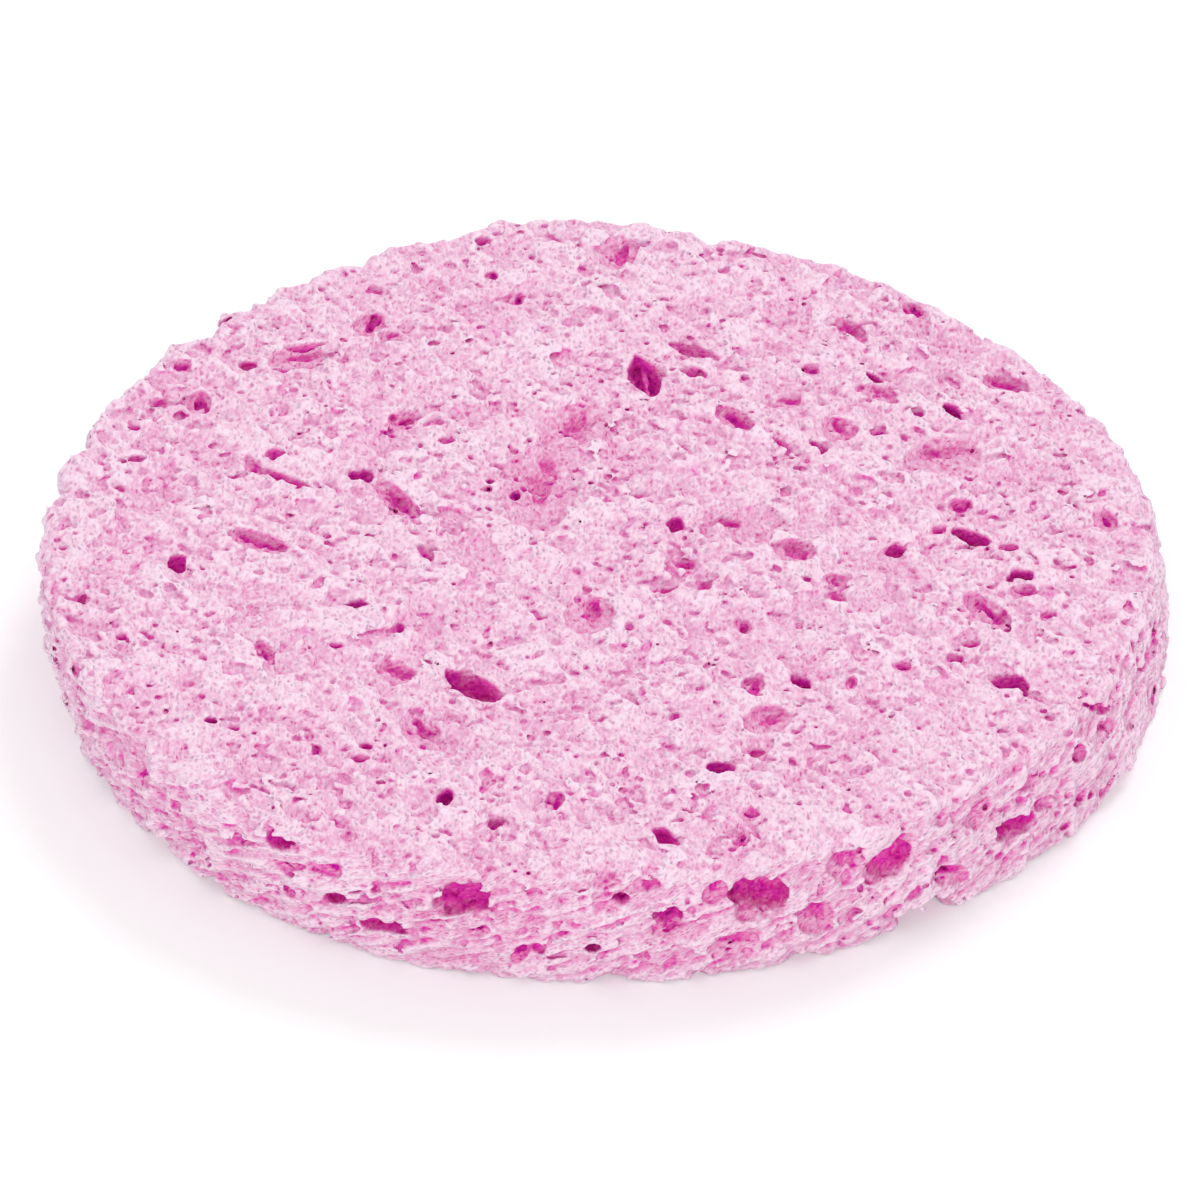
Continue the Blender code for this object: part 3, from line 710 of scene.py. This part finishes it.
def turned(along, across, out, degrees):
    """The axes of a cell whose long side is turned in the surface, and its way out."""
    turn = math.radians(degrees)
    first = along * math.cos(turn) + across * math.sin(turn)
    second = across * math.cos(turn) - along * math.sin(turn)
    return np.array([first, second, out])


def face_frame(up, degrees):
    along, across, out = np.diag((1.0, up, up))
    return turned(along, across, out, degrees)


def wall_frame(angle, degrees):
    out = np.array((math.cos(angle), math.sin(angle), 0))
    along = np.array((-math.sin(angle), math.cos(angle), 0))
    return turned(along, np.array((0, 0, 1.0)), out, degrees)


def on_wall(angle, height, sunk):
    """The place on the wall at an angle and a height, or as far behind it as `sunk` says."""
    level = level_of(height)
    radius = stepped_radius(angle) - WALL_BULGE * level**2 - sunk
    x = MIDDLE_X + radius * math.cos(angle) - CUT_LEAN[0] * level
    y = MIDDLE_Y + radius * math.sin(angle) - CUT_LEAN[1] * level
    return np.array((x, y, height))


def on_face(x, y, up, sunk):
    """The place on the upper face, or on the lower one where `up` is -1."""
    return np.array((MIDDLE_X + x, MIDDLE_Y + y, THICKNESS - sunk if up > 0 else sunk))


def by_depth(pair, deep):
    """A value and what full depth adds to it, at a depth."""
    return pair[0] + pair[1] * deep


def carve_cell(foam, place, frame, radii, shade_side):
    """A photographed cell: a hole, or if it is shallow, a bowl with a shaded crescent and pits."""
    chance = foam.chance
    deep = radii[2] / CELL_DEPTH
    if deep > BOWL_DEPTH_SHARE:
        carve_hole(foam, place, frame, radii, shade_side)
        return
    sunk = by_depth(BOWL_DEPTH, deep)
    bowl = np.array((BOWL_SPREAD * radii[0], BOWL_SPREAD * radii[1], sunk))
    raised = place + BOWL_RAISE_SHARE * sunk * frame[2]
    painted_shade = by_depth(BOWL_PAINTED_SHADE, deep)
    foam.carve(raised, frame, bowl, BOWL_ROUGHNESS, SOFT_RIM, painted_shade=painted_shade, floor=BOWL_FLATNESS)
    shaded = place + CRESCENT_OFFSET_SHARE * radii[1] * shade_side
    crescent = np.array((radii[0], radii[1], sunk)) * CRESCENT_SHARES
    corner = chance.choice(CORNERS)
    foam.carve(shaded, frame, crescent, CRESCENT_ROUGHNESS, SOFT_RIM, corner, by_depth(CRESCENT_PAINTED_SHADE, deep))
    for _ in range(int(PIT_COUNTS[0] * radii[0] / MM + PIT_COUNTS[1] * deep)):
        way = chance.normal(0, PIT_SPREAD, 2)
        offset = way[0] * radii[0] * frame[0] + way[1] * radii[1] * frame[1] - sunk * frame[2]
        pit = np.array(PIT_STRETCH) * chance.uniform(*PIT_SIZES) * MM
        foam.carve(place + offset, frame, pit, PIT_ROUGHNESS, PIT_RIM, painted_shade=chance.uniform(*PIT_PAINTED_SHADES))


def carve_hole(foam, place, frame, radii, shade_side):
    """A deep cell: the hole, and further holes in it towards its shaded side."""
    chance = foam.chance
    deep = radii[2] / CELL_DEPTH
    main = radii * HOLE_SHARES
    middle = place + HOLE_OFFSET_SHARE * radii[1] * shade_side
    corner, painted_shade = chance.choice(CORNERS), by_depth(HOLE_PAINTED_SHADE, deep)
    foam.carve(middle, frame, main, HOLE_ROUGHNESS, SOFT_RIM, corner, painted_shade, HOLE_FLATNESS, shade_side)
    painted_shade = by_depth(LOBE_PAINTED_SHADE, deep)
    for _ in range(1 + int(LOBE_COUNT * radii[0] / MM)):
        way = chance.normal(0, LOBE_SPREAD, 2)
        offset = way[0] * radii[0] * frame[0] + way[1] * radii[1] * frame[1]
        offset = offset + LOBE_OFFSET_SHARE * radii[1] * shade_side - LOBE_SUNK_SHARE * radii[2] * frame[2]
        size = chance.uniform(*LOBE_SIZES) * math.sqrt(radii[0] * radii[1])
        lobe = (np.array(LOBE_STRETCH) + (0, 0, deep)) * max(size, LEAST_LOBE)
        foam.carve(place + offset, frame, lobe, LOBE_ROUGHNESS, corner=chance.choice(CORNERS), painted_shade=painted_shade)


def add_strand(foam, place, frame, radii):
    """A thread of foam left standing across a deep cell."""
    chance = foam.chance
    lean = chance.uniform(*STRAND_LEAN)
    aside = chance.uniform(*STRAND_ASIDE) * radii[1] * frame[1]
    middle = place - STRAND_SUNK_SHARE * radii[2] * frame[2] + aside
    reach = radii[0] * (frame[0] + lean * radii[1] / radii[0] * frame[1]) * STRAND_REACH
    foam.bridge(middle - reach, middle + reach, chance.uniform(*STRAND_RADII) * MM)


def placed_radii(length, width, depth):
    return np.array((length * CELL_LENGTH / 2, width * CELL_LENGTH / 2, depth * CELL_DEPTH))


def carve_photographed(foam):
    """The cells and bites of the tables."""
    for x, y, length, width, depth, degrees in TOP_CELL_SHARES:
        radii = placed_radii(length, width, depth)
        place = on_face(x * RADIUS, y * RADIUS, 1, PLACED_SUNK_SHARE * radii[2])
        frame = face_frame(1, degrees)
        carve_cell(foam, place, frame, radii, np.array(FACE_SHADE_SIDE))
        if depth > STRANDED_DEPTH_SHARE:
            add_strand(foam, place, frame, radii)
    for degrees_round, level, length, width, depth, degrees in WALL_CELL_SHARES:
        radii = placed_radii(length, width, depth)
        angle = math.radians(degrees_round)
        place = on_wall(angle, THICKNESS / 2 * (1 + level), PLACED_SUNK_SHARE * radii[2])
        carve_cell(foam, place, wall_frame(angle, degrees), radii, np.array(WALL_SHADE_SIDE))
    for degrees_round, side, length, height, depth in BITE_SHARES:
        radii = np.array((length * BITE_LENGTH / 2, height * BITE_HEIGHT / 2, depth * BITE_DEPTH))
        angle = math.radians(degrees_round)
        place = on_wall(angle, THICKNESS if side > 0 else 0.0, 0)
        foam.carve(place, wall_frame(angle, 0), radii, BITE_ROUGHNESS)


def carve_scattered(foam):
    """Seeded cells of each kind, on both faces and on the wall."""
    chance = foam.chance
    for count, count_on_wall, least, most, narrow, deep, soft, painted_shade in SCATTERED:
        for up in (1, -1):
            for _ in range(count):
                angle, radius = chance.uniform(0, math.tau), RADIUS * math.sqrt(chance.random())
                radii = scattered_radii(chance, least, most, narrow, deep)
                sunk = radii[2] * chance.uniform(*SUNK_ON_FACE)
                place = on_face(radius * math.cos(angle), radius * math.sin(angle), up, sunk)
                turn = face_frame(up, chance.normal(STREAK_LEAN, SCATTERED_TURN_ON_FACE))
                foam.carve(place, turn, radii, SCATTERED_ROUGHNESS, soft, painted_shade=painted_shade * chance.random())
        for _ in range(count_on_wall):
            angle, height = chance.uniform(0, math.tau), THICKNESS * chance.random()
            radii = scattered_radii(chance, least, most, narrow, deep) * WALL_STRETCH
            place = on_wall(angle, height, radii[2] * chance.uniform(*SUNK_ON_WALL))
            turn = wall_frame(angle, chance.normal(WALL_LEAN, SCATTERED_TURN_ON_WALL))
            foam.carve(place, turn, radii, SCATTERED_ROUGHNESS, soft, painted_shade=painted_shade * chance.random())


def scattered_radii(chance, least, most, narrow, deep):
    """Half length, half width and depth of a seeded cell. Most are small."""
    length = least + (most - least) * chance.random() ** 2
    width = length * chance.uniform(narrow, WIDEST_SHARE)
    return np.array((length, width, deep * chance.uniform(*DEPTH_SHARES)))


def carve_pores(foam):
    """Fine open pores in whatever surface the cells have left."""
    pores = PORE_SLOPE * (foam.grain + PORE_CRUMBS * foam.crumbs + PORE_LUMPS * foam.lumps - PORE_SHARE)
    np.maximum(foam.field, np.minimum(pores, foam.field + PORE_DEPTH), out=foam.field)


def spread(seed, allowed):
    """What of `allowed` touches `seed`, step by step through neighbours."""
    got = seed & allowed
    count = 0
    while got.sum() > count:
        count = got.sum()
        wider = got.copy()
        for axis in range(3):
            ahead, behind = [slice(None)] * 3, [slice(None)] * 3
            ahead[axis], behind[axis] = slice(1, None), slice(None, -1)
            wider[tuple(ahead)] |= got[tuple(behind)]
            wider[tuple(behind)] |= got[tuple(ahead)]
        got = wider & allowed
    return got


def clean(foam):
    """Drops crumbs that hang in the air, fills hollows that nothing opens, and says how solid all is."""
    solid = spread(foam.skin < -SURE_FOAM, foam.field < 0)
    foam.field[(foam.field < 0) & ~solid] = NUDGE_SHARE * GRID_STEP
    opened = spread(foam.skin > SURE_AIR, ~solid)
    foam.field[~solid & ~opened] = -NUDGE_SHARE * GRID_STEP
    return np.clip(0.5 - foam.field / GRID_STEP, 0, 1)


def surface(foam):
    """Vertices and quads of a surface net: one vertex in each grid cell that the surface crosses."""
    sign = foam.field < 0
    shape = np.array(sign.shape)
    corners = list(np.ndindex(2, 2, 2))
    total = np.zeros(shape - 1, np.int8)
    for i, j, k in corners:
        total += sign[i:shape[0] - 1 + i, j:shape[1] - 1 + j, k:shape[2] - 1 + k]
    crossed = (total > 0) & (total < 8)
    cells = np.argwhere(crossed)
    index = np.full(crossed.shape, -1, np.int32)
    index[crossed] = np.arange(len(cells))
    value = {c: foam.field[tuple((cells + c).T)] for c in corners}
    place = np.zeros((len(cells), 3), np.float32)
    count = np.zeros(len(cells), np.float32)
    for axis in range(3):
        for corner in corners:
            if corner[axis]:
                continue
            other = tuple(side + (k == axis) for k, side in enumerate(corner))
            a, b = value[corner], value[other]
            cross = (a < 0) != (b < 0)
            share = np.where(cross, a / np.where(cross, a - b, 1), 0)
            for k in range(3):
                place[:, k] += np.where(cross, corner[k], 0)
            place[:, axis] += share
            count += cross
    place = cells + place / count[:, None]
    quads = []
    for axis in range(3):
        across = [(axis + 1) % 3, (axis + 2) % 3]
        before = [slice(1, size - 1) for size in shape]
        after = list(before)
        before[axis], after[axis] = slice(0, shape[axis] - 1), slice(1, shape[axis])
        a, b = sign[tuple(before)], sign[tuple(after)]
        for crossing, order in ((a & ~b, (0, 1, 2, 3)), (~a & b, (3, 2, 1, 0))):
            at = np.argwhere(crossing)
            at[:, across] += 1
            ring = []
            for du, dv in ((1, 1), (0, 1), (0, 0), (1, 0)):
                step = at.copy()
                step[:, across[0]] -= du
                step[:, across[1]] -= dv
                ring.append(index[tuple(step.T)])
            quads.append(np.stack([ring[k] for k in order], 1))
    return place, np.concatenate(quads)


def blurred(field, reach):
    """Mean over a cube of 2 * reach + 1 samples a side."""
    for axis in range(3):
        wide = [(0, 0)] * 3
        wide[axis] = (reach + 1, reach)
        run = np.cumsum(np.pad(field, wide, mode="edge"), axis=axis, dtype=np.float64)
        ahead = np.take(run, range(2 * reach + 1, run.shape[axis]), axis)
        behind = np.take(run, range(0, run.shape[axis] - 2 * reach - 1), axis)
        field = ((ahead - behind) / (2 * reach + 1)).astype(np.float32)
    return field


def sampled(field, at):
    """The field between its grid points, at places counted in grid steps."""
    base = at.astype(np.int32)
    part = (at - base).astype(np.float32)
    total = np.zeros(len(at), np.float32)
    for corner in np.ndindex(2, 2, 2):
        weight = np.prod(np.where(corner, part, 1 - part), axis=1)
        total += weight * field[tuple((base + corner).T)]
    return total


def sight_ways():
    """Directions spread evenly over the sphere."""
    turn = np.arange(SIGHT_LINES) + 0.5
    z = 1 - 2 * turn / SIGHT_LINES
    flat = np.sqrt(1 - z * z)
    angle = turn * math.pi * (1 + math.sqrt(5))
    return np.stack([flat * np.cos(angle), flat * np.sin(angle), z], 1).astype(np.float32)


def enclosure(solid, at, normals):
    """How much of what each vertex faces is closed off by the foam around it, from 0 to 1."""
    limit = np.array(solid.shape) - 1
    stride = np.array((solid.shape[1] * solid.shape[2], solid.shape[2], 1))
    flat = np.ascontiguousarray(solid).ravel()
    seen = np.zeros(len(at), np.float32)
    total = np.full(len(at), 1e-6, np.float32)
    start = at.astype(np.float32) + SIGHT_START * normals
    for way in sight_ways():
        facing = normals @ way
        rows = np.flatnonzero(facing > SIGHT_LEAST_FACING)
        clear = np.ones(len(rows), np.float32)
        base = start[rows]
        for step in SIGHT_STEPS:
            spot = np.clip(np.rint(base + step * way), 0, limit).astype(np.int32)
            clear *= 1 - flat[spot @ stride]
        seen[rows] += facing[rows] * clear
        total[rows] += facing[rows]
    return 1 - seen / total


def add_bake_map(mesh, places, quads, walled):
    """Where each face lies on a square sheet: two discs for the faces, and the wall in five strips."""
    layer = mesh.uv_layers.new(name="OFBake")
    centre = places[quads].mean(axis=1)
    upper = centre[:, 2] > THICKNESS / 2
    disc = np.where(upper, SHEET_DISCS[0], SHEET_DISCS[1])
    turn = np.arctan2(centre[:, 1], centre[:, 0]) % math.tau
    strip = np.minimum((turn / math.tau * SHEET_STRIPS).astype(int), SHEET_STRIPS - 1)
    walled = np.repeat(walled[quads].mean(axis=1) > 0, 4)
    disc, strip = np.repeat(disc, 4), np.repeat(strip, 4)
    x, y, z = places[quads.ravel()].T
    side = np.where(np.repeat(upper, 4), 1, -1)
    u = disc + side * x / WIDTH * SHEET_DISC_WIDTH
    v = disc + y / WIDTH * SHEET_DISC_WIDTH
    along = (np.arctan2(y, x) % math.tau) / math.tau * SHEET_STRIPS - strip
    along = (along + SHEET_STRIPS / 2) % SHEET_STRIPS - SHEET_STRIPS / 2
    height = SHEET_STRIP_LENGTH / SHEET_STRIPS
    up = strip + 0.5 + SHEET_STRIP_FILL[1] * (z / THICKNESS - 0.5)
    u = np.where(walled, SHEET_EDGE + along * SHEET_STRIP_LENGTH * SHEET_STRIP_FILL[0], u)
    v = np.where(walled, 1 - SHEET_EDGE - up * height, v)
    layer.data.foreach_set("uv", np.stack([u, v], 1).astype(np.float32).ravel())


def add_attribute(mesh, name, values):
    layer = mesh.attributes.new(name, "FLOAT", "POINT")
    layer.data.foreach_set("value", np.ascontiguousarray(values, np.float32))


def foam_mesh():
    """The carved foam as a mesh, with what its material reads."""
    foam = Foam()
    carve_photographed(foam)
    carve_scattered(foam)
    carve_pores(foam)
    solid = clean(foam)
    at, quads = surface(foam)
    places = at * GRID_STEP + [axis[0] for axis in foam.axes]
    mesh = bpy.data.meshes.new("foam_disc")
    mesh.vertices.add(len(places))
    mesh.vertices.foreach_set("co", places.astype(np.float32).ravel())
    mesh.loops.add(quads.size)
    mesh.loops.foreach_set("vertex_index", quads.ravel().astype(np.int32))
    mesh.polygons.add(len(quads))
    mesh.polygons.foreach_set("loop_start", np.arange(0, quads.size, 4, dtype=np.int32))
    mesh.update(calc_edges=True)
    mesh.shade_smooth()
    normals = np.empty(len(places) * 3, np.float32)
    mesh.vertex_normals.foreach_get("vector", normals)
    # What the material paints shade by: how enclosed each vertex is, how much foam lies near it, its depth
    # below the skin, and its carved hollows
    add_attribute(mesh, "enclosed_shade", enclosure(solid, at, normals.reshape(-1, 3)))
    add_bake_map(mesh, places, quads, sampled(foam.walled, at))
    add_attribute(mesh, "near_shade", sampled(blurred(solid, 1), at))
    add_attribute(mesh, "depth", -sampled(foam.skin, at) / MM)
    add_attribute(mesh, "painted_shade", sampled(foam.painted_shade, at))
    return mesh


def new_material(name, roughness, specular):
    material = bpy.data.materials.new(name)
    material.use_nodes = True
    nodes, links = material.node_tree.nodes, material.node_tree.links
    shader = nodes["Principled BSDF"]
    shader.inputs["Roughness"].default_value = roughness
    shader.inputs["Specular IOR Level"].default_value = specular
    return material, nodes, links, shader


def foam_material():
    """Matte pink with fine specks and painted shade: deeper in enclosed spots, hollows and creases, grey in
    pits, paler on ridges.
    """
    material, nodes, links, shader = new_material("pink_cellulose_foam", FOAM_ROUGHNESS, FOAM_SPECULAR)

    def attribute(name):
        node = nodes.new("ShaderNodeAttribute")
        node.attribute_name = name
        return node.outputs["Fac"]

    def math_node(operation, *values):
        node = nodes.new("ShaderNodeMath")
        node.operation = operation
        for socket, value in zip(node.inputs, values):
            if isinstance(value, (int, float)):
                socket.default_value = value
            else:
                links.new(value, socket)
        return node.outputs[0]

    def noise_node(size, detail):
        node = nodes.new("ShaderNodeTexNoise")
        node.inputs["Scale"].default_value = 1 / size
        node.inputs["Detail"].default_value = detail
        links.new(place, node.inputs["Vector"])
        return math_node("SUBTRACT", node.outputs["Fac"], 0.5)

    def ranged(value, low, high, to_low, to_high):
        node = nodes.new("ShaderNodeMapRange")
        for name, end in (("From Min", low), ("From Max", high), ("To Min", to_low), ("To Max", to_high)):
            node.inputs[name].default_value = end
        links.new(value, node.inputs["Value"])
        return node.outputs["Result"]

    def ramp_of(value, stops):
        node = nodes.new("ShaderNodeValToRGB")
        while len(node.color_ramp.elements) < len(stops):
            node.color_ramp.elements.new(0.5)
        for stop, (position, tint) in zip(node.color_ramp.elements, stops):
            stop.position = position
            stop.color = (*tint, 1)
        links.new(value, node.inputs["Fac"])
        return node.outputs["Color"]

    def mixed(first, second, factor):
        node = nodes.new("ShaderNodeMix")
        node.data_type = "RGBA"
        links.new(first, node.inputs["A"])
        if isinstance(second, tuple):
            node.inputs["B"].default_value = (*second, 1)
        else:
            links.new(second, node.inputs["B"])
        links.new(factor, node.inputs["Factor"])
        return node.outputs["Result"]

    def spots(size, full, faded):
        """Round spots, each of its own strength."""
        node = nodes.new("ShaderNodeTexVoronoi")
        node.inputs["Scale"].default_value = 1 / size
        links.new(place, node.inputs["Vector"])
        chosen = nodes.new("ShaderNodeSeparateColor")
        links.new(node.outputs["Color"], chosen.inputs["Color"])
        strength = ranged(chosen.outputs["Red"], FAINTEST_SPOT, 1.0, 0.0, 1.0)
        return math_node("MULTIPLY", ranged(node.outputs["Distance"], full, faded, 1.0, 0.0), strength)

    def drawn_out():
        """Object coordinates that stretch what is drawn on them as the foam is stretched, and ragged."""
        straight = nodes.new("ShaderNodeSeparateXYZ")
        links.new(nodes.new("ShaderNodeTexCoord").outputs["Object"], straight.inputs["Vector"])
        x, y, z = straight.outputs
        bent = nodes.new("ShaderNodeCombineXYZ")
        links.new(x, bent.inputs["X"])
        for name, other, (from_x, from_other) in (("Y", y, STRETCHED_Y), ("Z", z, STRETCHED_Z)):
            scaled = math_node("MULTIPLY", other, from_other)
            links.new(math_node("MULTIPLY_ADD", x, from_x, scaled), bent.inputs[name])
        wander = nodes.new("ShaderNodeTexNoise")
        wander.inputs["Scale"].default_value = 1 / WANDER_SIZE
        wander.inputs["Detail"].default_value = WANDER_DETAIL
        links.new(bent.outputs["Vector"], wander.inputs["Vector"])
        moved = nodes.new("ShaderNodeVectorMath")
        moved.operation = "MULTIPLY_ADD"
        moved.inputs[1].default_value = (WANDER, WANDER, WANDER)
        links.new(wander.outputs["Color"], moved.inputs[0])
        links.new(bent.outputs["Vector"], moved.inputs[2])
        return moved.outputs["Vector"]

    place = drawn_out()
    parts = {name: noise_node(*size_and_detail) for name, size_and_detail in NOISES.items()}
    parts["veins"] = ranged(math_node("ABSOLUTE", parts["veins"]), 0.0, VEIN_WIDTH, 1.0, 0.0)
    parts["dots"] = spots(*DOTS)
    parts["grains"] = spots(*GRAINS)
    # Painted shade in creases and a painted highlight on ridges, from how much foam lies near
    parts["near"] = math_node("SUBTRACT", attribute("near_shade"), LEVEL_SHADE)
    # Painted shade in carved hollows and between ridges
    parts["painted_shade"] = attribute("painted_shade")
    # Painted shade where foam encloses a spot, which also mixes in the shaded tints
    enclosed_shade = attribute("enclosed_shade")
    parts["enclosed_shade"] = math_node("POWER", enclosed_shade, ENCLOSED_POWER)

    # Painted shade by depth below the skin
    colour = math_node("ADD", ranged(attribute("depth"), *SKIN_DEPTH_SHADE_RANGE), COLOUR_DEPTH)
    for name, weight in COLOUR_WEIGHTS.items():
        colour = math_node("MULTIPLY_ADD", parts[name], weight, colour)
    # Painted lit and shaded copies of the foam's colours, mixed by enclosure
    tint = mixed(ramp_of(colour, LIT_TINTS), ramp_of(colour, SHADED_TINTS), ranged(enclosed_shade, *SHADED_RANGE))
    # Painted shade as grey specks in the fine pits that the bump sinks
    grey_speck_shade = math_node("MULTIPLY", parts["grains"], ranged(colour, *GREY_SPECK_SHADE_RANGE))
    links.new(mixed(tint, GREY_SPECK_SHADE_TINT, grey_speck_shade), shader.inputs["Base Color"])

    height = 0.0
    for name, weight in BUMP_WEIGHTS.items():
        height = math_node("MULTIPLY_ADD", parts[name], weight, height)
    bump = nodes.new("ShaderNodeBump")
    bump.inputs["Strength"].default_value = BUMP_STRENGTH
    bump.inputs["Distance"].default_value = BUMP_DISTANCE
    links.new(height, bump.inputs["Height"])
    links.new(bump.outputs["Normal"], shader.inputs["Normal"])
    return material


def new_object(name, data):
    made = bpy.data.objects.new(name, data)
    bpy.context.scene.collection.objects.link(made)
    return made


def add_sponge():
    sponge = new_object("foam_disc", foam_mesh())
    sponge.data.materials.append(foam_material())
    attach(sponge, "root")
    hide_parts("sponge_body")


def seen_rays(nodes, links):
    """1 for rays of the camera and for those that reach it through gloss or glass, else 0."""
    path = nodes.new("ShaderNodeLightPath")
    seen = path.outputs["Is Camera Ray"]
    for name in ("Is Glossy Ray", "Is Transmission Ray"):
        either = nodes.new("ShaderNodeMath")
        either.operation = "MAXIMUM"
        links.new(seen, either.inputs[0])
        links.new(path.outputs[name], either.inputs[1])
        seen = either.outputs[0]
    return seen


def add_floor():
    mesh = bpy.data.meshes.new("floor")
    corners = [(FLOOR_SIDE * x, FLOOR_SIDE * y, 0) for x, y in ((-1, -1), (1, -1), (1, 1), (-1, 1))]
    mesh.from_pydata(corners, [], [(0, 1, 2, 3)])
    floor = new_object("floor", mesh)
    material, nodes, links, shader = new_material("pale_floor", 1.0, 0.0)
    shader.inputs["Base Color"].default_value = (FLOOR_GREY, FLOOR_GREY, FLOOR_GREY, 1)
    glow = nodes.new("ShaderNodeEmission")
    links.new(seen_rays(nodes, links), glow.inputs["Strength"])
    glow.inputs["Color"].default_value = (FLOOR_GLOW, FLOOR_GLOW, FLOOR_GLOW, 1)
    add = nodes.new("ShaderNodeAddShader")
    links.new(shader.outputs["BSDF"], add.inputs[0])
    links.new(glow.outputs["Emission"], add.inputs[1])
    links.new(add.outputs["Shader"], nodes["Material Output"].inputs["Surface"])
    mesh.materials.append(material)


def add_world():
    world = bpy.data.worlds.new("studio")
    world.use_nodes = True
    nodes, links = world.node_tree.nodes, world.node_tree.links
    plain = nodes["Background"]
    plain.inputs["Color"].default_value = (1, 1, 1, 1)
    strength = nodes.new("ShaderNodeMapRange")
    links.new(seen_rays(nodes, links), strength.inputs["Value"])
    strength.inputs["To Min"].default_value = WORLD_STRENGTH
    strength.inputs["To Max"].default_value = 1.0
    links.new(strength.outputs["Result"], plain.inputs["Strength"])
    bpy.context.scene.world = world


def add_sun(name, strength, elevation, azimuth, angle):
    lamp = bpy.data.lights.new(name, "SUN")
    lamp.energy = strength
    lamp.angle = math.radians(angle)
    sun = new_object(name, lamp)
    up, round_ = math.radians(elevation), math.radians(azimuth)
    way = Vector((math.cos(up) * math.cos(round_), math.cos(up) * math.sin(round_), math.sin(up)))
    sun.rotation_euler = way.to_track_quat("Z", "Y").to_euler()


def add_camera():
    data = bpy.data.cameras.new("camera")
    data.lens = CAMERA_LENS
    data.sensor_width = SENSOR_WIDTH
    camera = new_object("camera", data)
    up = math.radians(CAMERA_ELEVATION)
    aim = Vector((MIDDLE_X + AIM_SHARE[0] * RADIUS, MIDDLE_Y + AIM_SHARE[1] * RADIUS, THICKNESS / 2))
    way = Vector((0, -math.cos(up), math.sin(up)))
    camera.location = aim + CAMERA_DISTANCE * way
    camera.rotation_euler = way.to_track_quat("Z", "Y").to_euler()
    bpy.context.scene.camera = camera


add_camera()
add_world()
for sun in SUNS:
    add_sun(*sun)
add_floor()
add_sponge()
bpy.context.scene.view_settings.view_transform = "Standard"
